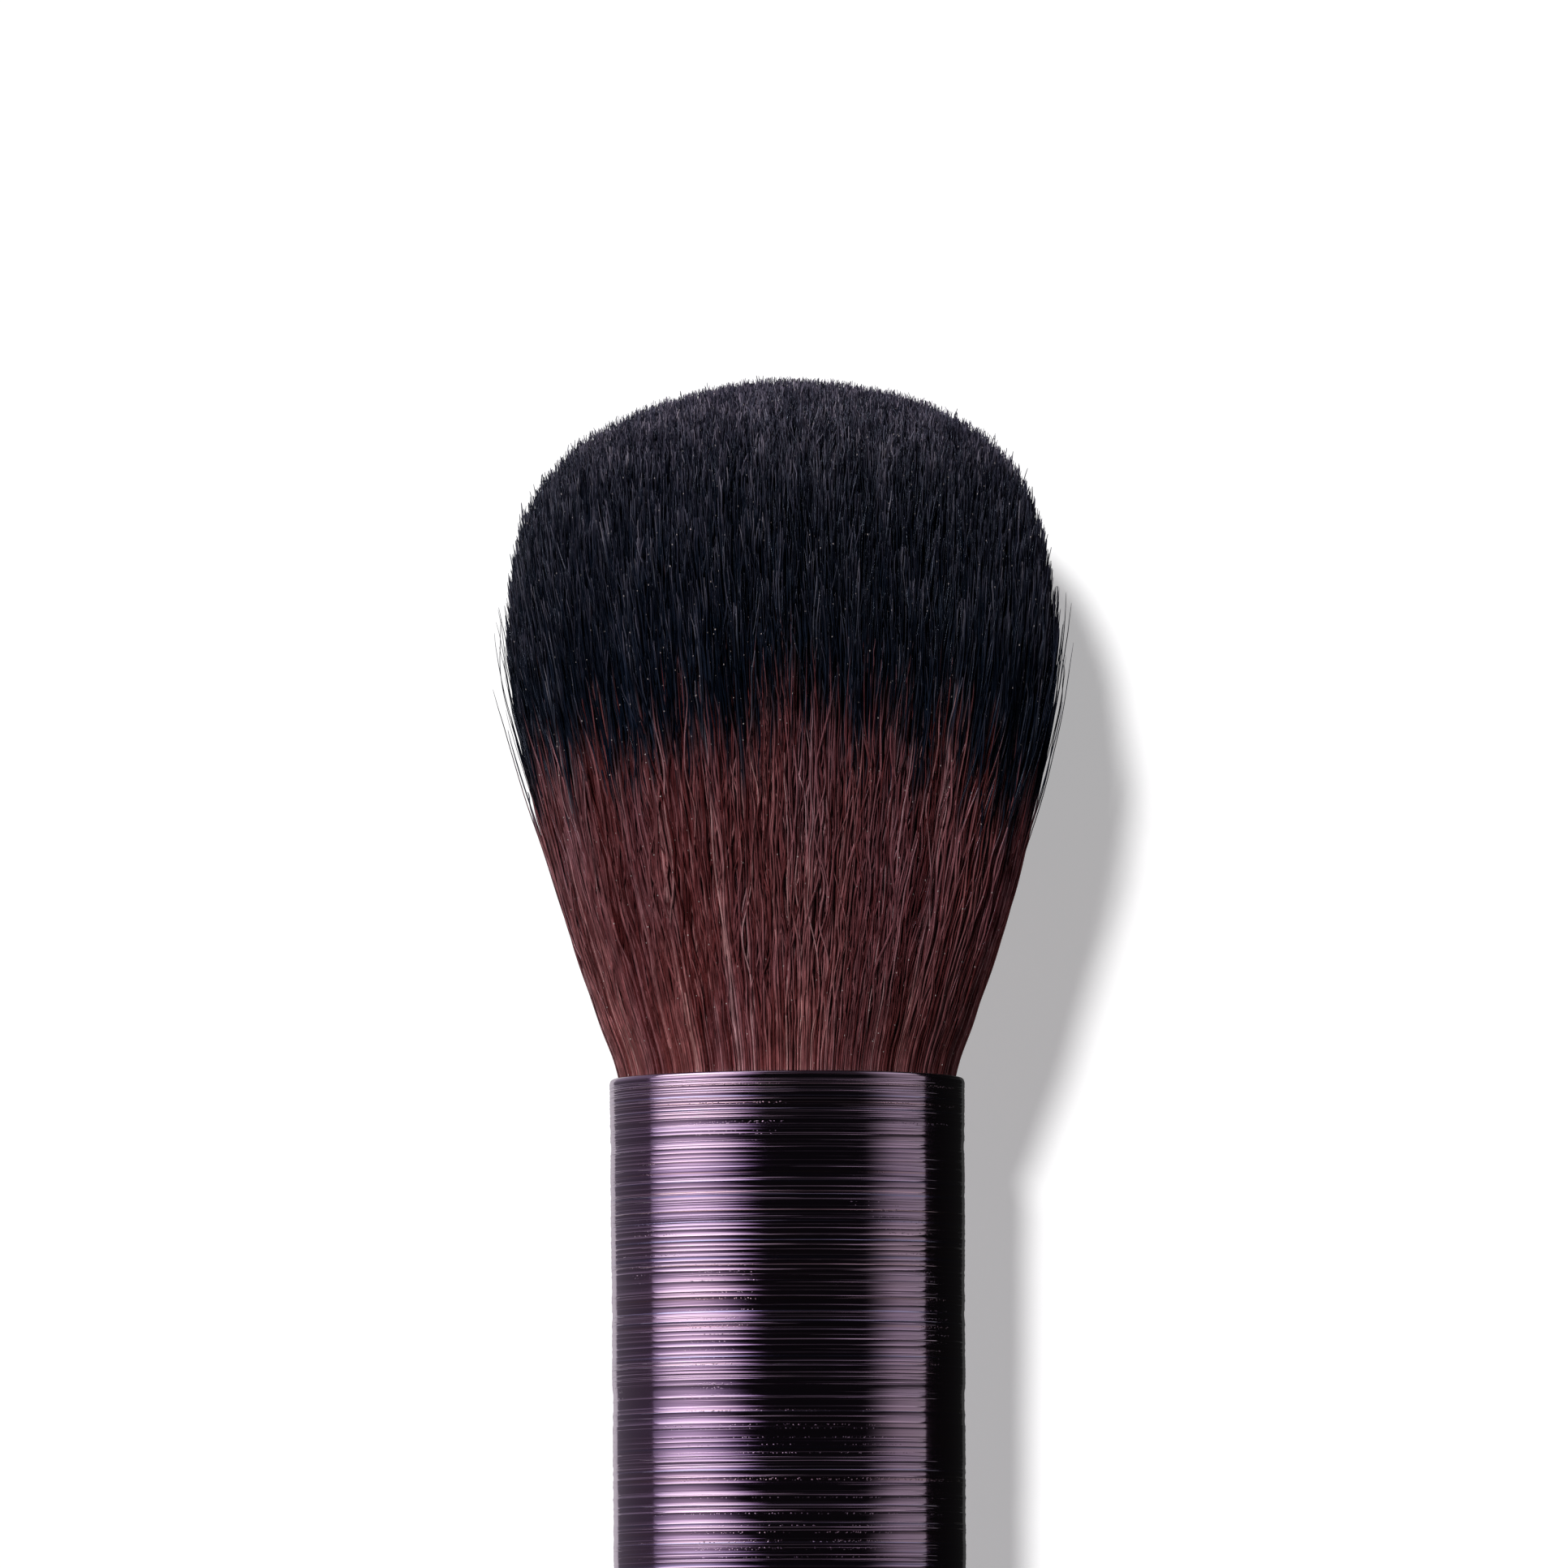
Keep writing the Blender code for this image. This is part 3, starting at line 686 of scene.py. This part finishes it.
def hair_material():
    n = Nodes("two_tone_filament")
    tone = n.attribute("tone")      # 0 in the maroon root, 1 in the dark tip
    own = n.attribute("own")        # each filament's own number, 0 to 1
    tip_dust_and_sheen = n.attribute("tip_dust_and_sheen")      # 1 at the very tip
    obj = n.add("ShaderNodeTexCoord").outputs["Object"]
    fine = n.noise(n.scaled(obj, (9000.0, 9000.0, 500.0)), 1.0, 2.0)
    slow = n.noise(n.scaled(obj, (300.0, 300.0, 70.0)), 1.0, 2.0)
    root = n.ramp(own, [
        (0.00, (0.068, 0.010, 0.010)), (0.28, (0.122, 0.029, 0.030)),
        (0.55, (0.184, 0.056, 0.060)), (0.76, (0.252, 0.090, 0.094)),
        (0.90, (0.318, 0.132, 0.136)), (1.00, (0.405, 0.208, 0.205)),
    ])
    root = n.mix(n.spread(n.height(obj), 0.0012, 0.0095), root, (0.73, 0.74, 0.78, 1), "MULTIPLY")
    root = n.mix(n.spread(slow, 0.45, 0.64), root, (1.03, 0.96, 0.93, 1), "MULTIPLY")
    strip = n.noise(n.scaled(obj, (2500.0, 2500.0, 190.0)), 1.0, 1.0)
    locks = n.ramp(strip, [(0.36, (0.72, 0.66, 0.66)), (0.50, (1.0, 1.0, 1.0)), (0.64, (1.30, 1.32, 1.32))])
    root = n.mix(1.0, root, locks, "MULTIPLY")
    root = n.mix(n.spread(slow, 0.55, 0.36, 0.0, 0.60), root, (0.93, 1.0, 1.12, 1), "MULTIPLY")
    # painted shade: the roots low on one side, near the mouth, are darkened to stand in for shade that the lights
    # don't give, so leave it out where the part is lit in another way
    across = n.add("ShaderNodeSeparateXYZ")
    n.put(obj, across.inputs[0])
    deep = n.math("MULTIPLY", n.spread(across.outputs[1], -0.0006, -0.0052),
                  n.spread(n.height(obj), 0.0085, 0.0018))
    root = n.mix(deep, root, (0.56, 0.52, 0.51, 1), "MULTIPLY")
    dark = n.ramp(own, [
        (0.00, (0.0010, 0.0026, 0.0062)), (0.45, (0.0020, 0.0040, 0.0094)),
        (0.75, (0.0050, 0.0078, 0.0168)), (0.92, (0.0142, 0.0175, 0.0305)),
        (1.00, (0.0420, 0.0440, 0.0600)),
    ])
    clump = n.noise(n.scaled(obj, (1250.0, 1250.0, 330.0)), 1.0, 1.0)
    shade = n.ramp(clump, [(0.36, (0.50, 0.54, 0.62)), (0.50, (1.0, 1.0, 1.0)), (0.64, (1.62, 1.56, 1.50))])
    dark = n.mix(1.0, dark, shade, "MULTIPLY")
    root = n.mix(n.spread(tone, 0.10, 0.90, 0.0, 0.62), root, (0.098, 0.066, 0.074, 1))
    colour = n.mix(tone, root, dark)
    tips = n.ramp(own, [(0.0, (0.004, 0.004, 0.009)), (0.35, (0.020, 0.018, 0.030)),
                        (0.65, (0.076, 0.066, 0.094)), (0.86, (0.160, 0.140, 0.184)),
                        (1.0, (0.250, 0.225, 0.270))])
    tips = n.mix(1.0, tips, shade, "MULTIPLY")
    # painted sheen: the tips take a lighter colour, partly the filaments' own tip colour and partly painted sheen,
    # strongest towards the crown where light catches them
    high = n.spread(n.height(obj), 0.0305, 0.0366)
    colour = n.mix(n.math("MULTIPLY", tip_dust_and_sheen, n.math("ADD", n.math("MULTIPLY", high, 0.66), 0.26)), colour, tips)
    # specks of dust
    cell = n.add("ShaderNodeTexVoronoi", feature="F1")
    n.put(n.scaled(obj, (1900.0, 1900.0, 1900.0)), cell.inputs["Vector"])
    cell.inputs["Scale"].default_value = 1.0
    speck = n.spread(cell.outputs["Distance"], 0.055, 0.085, 0.8, 0.0)
    colour = n.mix(speck, colour, (0.55, 0.48, 0.47, 1))
    streak = n.add("ShaderNodeMix", data_type="RGBA", blend_type="MULTIPLY")
    n.put(1.0, streak.inputs[0])
    n.put(colour, streak.inputs[6])
    n.put(n.ramp(fine, [(0.22, (0.60, 0.60, 0.60)), (0.78, (1.34, 1.34, 1.34))]), streak.inputs[7])
    rough = n.math("ADD", n.spread(fine, 0.25, 0.75, 0.20, 0.34), n.math("MULTIPLY", own, 0.10))
    n.set(colour=streak.outputs[2], metal=0.0, rough=rough, specular=0.5,
          normal=n.bump(fine, 0.25, 0.00001))
    return n.mat


FILAMENT = hair_material()


def build_hair():
    rng, pts, radius, h, rho, theta, tip, lead, small = hair_paths()
    n, rings = h.shape
    # where the two dyes meet: lower on the outermost hair than inside, ragged from
    # lock to lock and from hair to hair
    toward = np.abs(np.cos(theta))
    meet = 14.3 + 3.45 * toward ** 2 + 20.0 * (1 - rho).clip(0, 0.22) + 0.45 * np.sin(theta)
    meet -= 0.50 * np.cos(15 * theta) + 0.30 * np.sin(26 * theta + 0.7)
    meet += np.interp(np.sin(theta), (-1.0, -0.8, -0.5, -0.19, 0.0, 0.2, 0.5, 0.8, 1.0),
                      (-0.3, -1.0, 0.3, 0.6, 0.4, 0.0, -0.4, 0.9, 0.3)) * smooth(-np.cos(theta), 0.0, 0.4)
    lock_shift = rng.normal(0, 0.95, n)[lead]
    meet = meet + lock_shift + rng.normal(0, 1.5, n)
    tone = smooth(h, meet[:, None] - 1.7, meet[:, None] + 1.7)
    shared = rng.random(int(small.max()) + 1)[small]
    own = 0.66 * rng.random(n) + 0.34 * shared
    # painted light: the roots that face up, towards the lights, are made a little lighter, to reach the picture's
    # level there
    painted_light_top = 0.19 * np.exp(-(np.sin(theta) / 0.22) ** 2) * (np.cos(theta) < 0)
    own = ((own - 0.5) * 1.12 + 0.5)[:, None] + painted_light_top[:, None] * (1 - smooth(h, 13.0, 21.0))
    own = np.clip(own, 0, 1)
    tip_dust_and_sheen = smooth(h, tip[:, None] - 1.8, tip[:, None] - 0.1)
    made = []
    # the outermost hair has the most rings, and the hidden hair the fewest
    for label, low, high, keep, pieces in (
            ("outer", 0.952, 1.1, list(range(rings)), 8),
            ("middle", 0.86, 0.952, [0, *range(2, 72, 5), *range(72, 86)], 5),
            ("inner", 0.0, 0.86, [0, 30, 54, 68, 74, 78, 80, 81, 82, 83, 84, 85], 9)):
        chosen = np.where((rho >= low) & (rho < high))[0]
        chosen = chosen[np.argsort(theta[chosen], kind="stable")]
        for i, part in enumerate(np.array_split(chosen, pieces)):
            grid = np.ix_(part, keep)
            made.append(strands(f"bristles_{label}_{i + 1}", pts[grid], radius[grid],
                                {"tone": tone[grid], "own": own[grid], "tip_dust_and_sheen": tip_dust_and_sheen[grid]},
                                3, FILAMENT))
            print(made[-1].name, sum(len(f.vertices) - 2 for f in made[-1].data.polygons), "triangles")
    return made


HAIR = build_hair()


# ======================================================================================
# Hidden pieces keep their CAD shape and get their own finish
# ======================================================================================
def plain_finish(name, colour, rough, metal=0.0, grain=900.0, lift=0.00003):
    n = Nodes(name)
    obj = n.add("ShaderNodeTexCoord").outputs["Object"]
    cloud = n.noise(obj, grain, 4.0)
    spots = n.noise(obj, grain * 7, 2.0)
    darker = tuple(c * 0.72 for c in colour) + (1,)
    lighter = tuple(min(1.0, c * 1.22) for c in colour) + (1,)
    n.set(colour=n.mix(n.spread(cloud, 0.3, 0.7), darker, lighter), metal=metal,
          rough=n.spread(spots, 0.3, 0.7, rough * 0.8, min(1.0, rough * 1.2)),
          normal=n.bump(cloud, 0.3, lift))
    return n.mat


def dress(nodes, mat):
    for name in nodes:
        data = frame["nodes"][name].data
        data.materials.clear()
        data.materials.append(mat)


dress(["binding_thread"], plain_finish("waxed_thread", (0.62, 0.57, 0.48), 0.8, grain=5000.0))
dress(["resin_plug"], plain_finish("cast_resin", (0.42, 0.31, 0.14), 0.2, grain=300.0))
dress(["handle_core"], plain_finish("moulded_plastic", (0.022, 0.022, 0.024), 0.5, grain=2500.0))
dress(["spigot_glue_upper", "spigot_glue_lower", "sleeve_glue_upper", "sleeve_glue_lower",
       "cap_glue"], plain_finish("set_adhesive", (0.70, 0.66, 0.52), 0.4, grain=700.0))
dress(["weight_rod"], plain_finish("drawn_steel", (0.45, 0.45, 0.46), 0.35, 1.0, 1500.0))
dress(["rod_stop"], plain_finish("soft_foam", (0.10, 0.10, 0.11), 0.9, grain=3500.0, lift=0.0001))

# ======================================================================================
# Stage, light and camera
# ======================================================================================
scene = bpy.context.scene


def floor_material():
    n = Nodes("pale_floor")
    n.bsdf.inputs["Base Color"].default_value = (0.80, 0.80, 0.80, 1)
    n.bsdf.inputs["Roughness"].default_value = 1.0
    n.bsdf.inputs["Specular IOR Level"].default_value = 0.0
    n.bsdf.inputs["Emission Color"].default_value = (0.995, 0.985, 1.0, 1)
    n.bsdf.inputs["Emission Strength"].default_value = 0.42
    n.mat.cycles.emission_sampling = "NONE"
    return n.mat


floor_mesh = bpy.data.meshes.new("floor")
side = 40.0
floor_mesh.from_pydata([(-side, -side, 0), (side, -side, 0), (side, side, 0), (-side, side, 0)],
                       [], [(0, 1, 2, 3)])
floor = bpy.data.objects.new("floor", floor_mesh)
floor_mesh.materials.append(floor_material())
scene.collection.objects.link(floor)
floor.location.z = -0.00002
floor.visible_glossy = False

world = bpy.data.worlds.new("studio")
scene.world = world
world.use_nodes = True
world.node_tree.nodes["Background"].inputs[0].default_value = (1, 1, 1, 1)
world.node_tree.nodes["Background"].inputs[1].default_value = 1.02
world.cycles_visibility.diffuse = False
world.cycles_visibility.glossy = False
world.cycles_visibility.transmission = False
world.cycles_visibility.scatter = False


def only_on(light, name, pieces):
    """Lets the light reach these pieces and no others."""
    reach = bpy.data.collections.new(name)
    for obj in pieces:
        reach.objects.link(obj)
    light.light_linking.receiver_collection = reach


def sun(name, strength, angle, direction):
    obj = bpy.data.objects.new(name, bpy.data.lights.new(name, "SUN"))
    obj.data.energy = strength
    obj.data.angle = math.radians(angle)
    scene.collection.objects.link(obj)
    obj.rotation_mode = "QUATERNION"
    obj.rotation_quaternion = Vector(direction).to_track_quat("Z", "Y")
    return obj


# key: from the upper left of the picture, 22 degrees off the vertical
key = sun("key", 2.75, 7.0, (0.335, 0.243, 1.0))
key.visible_glossy = False
# the same light's gloss on the hair, spread by its diffuser
sheen = sun("hair_sheen", 1.52, 16.0, (0.335, 0.243, 1.0))
sheen.data.color = (0.84, 0.93, 1.18)
sheen.visible_diffuse = False
only_on(sheen, "hair_lit", HAIR)

# the room's own light and four weak fills, which only the hair shows
for name, strength, angle, direction, colour in (
        ("hair_room", 0.50, 120.0, (0.05, -0.14, 1.0), (1.0, 0.94, 0.97)),
        ("hair_tips", 0.74, 40.0, (1.0, -0.12, 0.30), (0.95, 0.92, 1.05)),
        ("hair_front_right", 1.25, 20.0, (1.0, -0.75, 0.10), (0.97, 0.96, 1.03)),
        ("hair_front_left", 1.00, 20.0, (1.0, 0.75, 0.10), (0.97, 0.96, 1.03)),
        ("hair_side", 0.20, 50.0, (0.10, -1.0, 0.24), (1.0, 0.95, 0.97))):
    fill = sun(name, strength, angle, direction)
    fill.data.color = colour
    fill.visible_glossy = False
    only_on(fill, f"{name}_lit", HAIR)

METAL_PIECES = [bpy.data.objects[k] for k in ("ferrule_turned", "handle_sleeve_turned", "end_cap_turned")]


def stage_light(name, verts, faces, uvs, strength, colour, edge_colour, shape):
    """A reflector that only the metal's gloss sees. shape(n, u, v) gives its level."""
    mesh = bpy.data.meshes.new(name)
    mesh.from_pydata(verts, [], faces)
    layer = mesh.uv_layers.new(name="across")
    layer.uv.foreach_set("vector", [c for uv in uvs for c in uv])
    n = Nodes(name)
    n.tree.nodes.remove(n.bsdf)
    glow = n.add("ShaderNodeEmission")
    across = n.add("ShaderNodeSeparateXYZ")
    n.put(n.add("ShaderNodeUVMap", uv_map="across").outputs[0], across.inputs[0])
    level = shape(n, across.outputs[0], across.outputs[1]) if shape else 1.0
    n.put(n.math("MULTIPLY", level, strength), glow.inputs[1])
    n.put(n.mix(level, (*edge_colour, 1), (*colour, 1)), glow.inputs[0])
    both = n.add("ShaderNodeAddShader")
    n.put(glow.outputs[0], both.inputs[0])
    n.put(n.add("ShaderNodeBsdfTransparent").outputs[0], both.inputs[1])
    n.put(both.outputs[0], n.tree.nodes["Material Output"].inputs["Surface"])
    mesh.materials.append(n.mat)
    obj = bpy.data.objects.new(name, mesh)
    scene.collection.objects.link(obj)
    for flag in ("visible_camera", "visible_diffuse", "visible_transmission",
                 "visible_volume_scatter", "visible_shadow"):
        setattr(obj, flag, False)
    only_on(obj, f"{name}_lit", METAL_PIECES)
    return obj


def card(name, turn_from, turn_to, reach, low_x, high_x, strength, shape=None,
         colour=(1, 1, 1), edge_colour=(1, 1, 1)):
    """A strip of a cylinder round the brush. turn_from and turn_to are degrees from
    straight up, positive towards -Y. Its map runs in degrees and in metres."""
    centre = LAID @ Vector((0, 0, -0.012))
    rows, cols = 40, 24
    verts, faces, uvs = [], [], []
    at = []
    for i in range(rows + 1):
        x = low_x + (high_x - low_x) * i / rows
        for j in range(cols + 1):
            turn = turn_from + (turn_to - turn_from) * j / cols
            a = math.radians(turn)
            verts.append((centre.x + x, centre.y - reach * math.sin(a),
                          centre.z + reach * math.cos(a)))
            at.append((turn, x))
    for i in range(rows):
        for j in range(cols):
            q = i * (cols + 1) + j
            face = (q, q + 1, q + cols + 2, q + cols + 1)
            faces.append(face)
            uvs += [at[k] for k in face]
    return stage_light(name, verts, faces, uvs, strength, colour, edge_colour, shape)


def round_light(turn, x, wide, long, full):
    """Level of a round softbox: 1 within the share full of its radius, 0 at its edge."""
    def shape(n, u, v):
        a = n.math("DIVIDE", n.math("SUBTRACT", u, turn), wide)
        b = n.math("DIVIDE", n.math("SUBTRACT", v, x), long)
        far = n.math("SQRT", n.math("ADD", n.math("MULTIPLY", a, a), n.math("MULTIPLY", b, b)))
        return n.spread(far, full, 1.0, 1.0, 0.0, smooth=True)
    return shape


def long_light(turn_dark, turn_full, x, long, full):
    """Level of a strip that comes up between two turns and fades along the brush."""
    def shape(n, u, v):
        far = n.math("ABSOLUTE", n.math("DIVIDE", n.math("SUBTRACT", v, x), long))
        return n.math("MULTIPLY", n.spread(u, turn_dark, turn_full, smooth=True),
                      n.spread(far, full, 1.0, 1.0, 0.0, smooth=True))
    return shape


def sloping(at_from, level_from, at_to, level_to):
    """Level that changes evenly across the strip."""
    return lambda n, u, v: n.spread(u, at_from, at_to, level_from, level_to)


def wall(name, x, strength, shape, half=1.6, foot=-0.45):
    """A dim upright board across the brush's line, past one of its ends."""
    verts = [(x, -half, foot), (x, half, foot), (x, half, 1.75), (x, -half, 1.75)]
    return stage_light(name, verts, [(0, 1, 2, 3)], [(0, 0), (1, 0), (1, 1), (0, 1)], strength,
                       (1, 1, 1), (1, 1, 1), shape)


VIOLET = (0.85, 0.70, 1.08)
card("softbox_left", -100.0, -6.0, 0.60, -0.48, 0.95, 2.05, round_light(-68.0, 0.40, 56.0, 0.66, 0.42),
     colour=(1.0, 1.02, 0.97), edge_colour=VIOLET)
card("softbox_left_core", -100.0, -8.0, 0.59, -0.10, 0.85, 4.2, round_light(-66.0, 0.34, 53.0, 0.37, 0.42),
     colour=(0.98, 1.07, 0.93), edge_colour=VIOLET)
card("softbox_left_rim", -100.0, -30.0, 0.61, -0.90, 0.30, 0.30, round_light(-72.0, -0.30, 46.0, 0.58, 0.30),
     edge_colour=VIOLET)
card("low_left", -153.0, -100.0, 0.60, -0.80, 0.80, 0.17,
     lambda n, u, v: n.spread(v, 0.05, 0.25, 0.95, 3.2), colour=(0.92, 0.76, 1.0))
card("under_left", -183.0, -153.0, 0.60, -0.80, 0.80, 0.72, sloping(-183.0, 0.50, -153.0, 1.0),
     colour=(0.97, 0.87, 0.98), edge_colour=(0.97, 0.87, 0.98))
card("strip_right", 100.6, 48.0, 0.60, -0.20, 0.95, 0.80, long_light(50.0, 80.0, 0.40, 0.54, 0.66))
card("strip_right_core", 100.6, 48.0, 0.61, 0.05, 0.80, 0.78, long_light(49.0, 80.0, 0.42, 0.37, 0.20))
card("strip_right_rim", 100.6, 60.0, 0.61, -0.70, 0.20, 0.13, round_light(96.0, -0.20, 36.0, 0.50, 0.40))
card("low_right", 158.0, 100.6, 0.60, -0.80, 0.80, 0.009)
card("under_right", 183.0, 158.0, 0.60, -0.80, 0.80, 0.05)
card("overhead", -100.0, 100.0, 0.72, -1.00, 1.00, 1.0,
     lambda n, u, v: n.spread(v, 0.20, 0.50, 0.015, 0.036), colour=(0.90, 0.96, 0.98),
     edge_colour=(0.90, 0.96, 0.98))
# beyond the butt, where the view from above doesn't reach
card("far_left", -115.0, -10.0, 0.62, -1.40, -0.44, 2.2, round_light(-62.0, -0.86, 50.0, 0.46, 0.25),
     edge_colour=VIOLET)
card("far_right", 112.0, 20.0, 0.62, -1.40, -0.44, 1.4, round_light(68.0, -0.86, 42.0, 0.46, 0.25),
     edge_colour=VIOLET)
wall("beyond_butt", -1.50, 0.85,
     lambda n, u, v: n.math("MULTIPLY", n.spread(v, 0.40, 1.0, 1.0, 0.35), n.spread(u, 0.0, 1.0, 0.75, 1.25)),
     half=3.0, foot=-1.9)
wall("beyond_tips", 1.05, 3.0,
     lambda n, u, v: n.math("ADD", n.math("MULTIPLY", n.spread(u, 0.46, 0.60),
                                          n.math("MULTIPLY", n.spread(v, 0.22, 0.28), n.spread(v, 0.58, 0.50))),
                            0.022))

# camera: its line of sight is square to the brush near the middle of its length, and it
# looks from there towards the hair
SCALE = 23.05                     # photo pixels per mm
FAR = 18500 / SCALE               # mm from the brush's axis
foot = LAID @ Vector((0, 0.00010, (1320 - 2300) / SCALE * MM))
aim = LAID @ Vector((0, 0.00010, (1330.5 - 966) / SCALE * MM))
up_from_axis = -down_dir
cam = bpy.data.objects.new("camera", bpy.data.cameras.new("camera"))
scene.collection.objects.link(cam)
cam.location = foot + up_from_axis * FAR * MM
cam.data.sensor_width = 36.0
cam.data.lens = 345.3
cam.data.clip_start, cam.data.clip_end = 0.05, 100.0
back = (cam.location - aim).normalized()
lean = math.radians(0.33)
right = axis_dir.cross(back).normalized()      # picture right
top = back.cross(right).normalized()
turn = Matrix((right, top, back)).transposed()
roll = Matrix.Rotation(-lean, 3, "Z")
cam.rotation_mode = "QUATERNION"
cam.rotation_quaternion = (turn @ roll).to_quaternion()
scene.camera = cam

scene.view_settings.view_transform = "Standard"
scene.view_settings.look = "None"
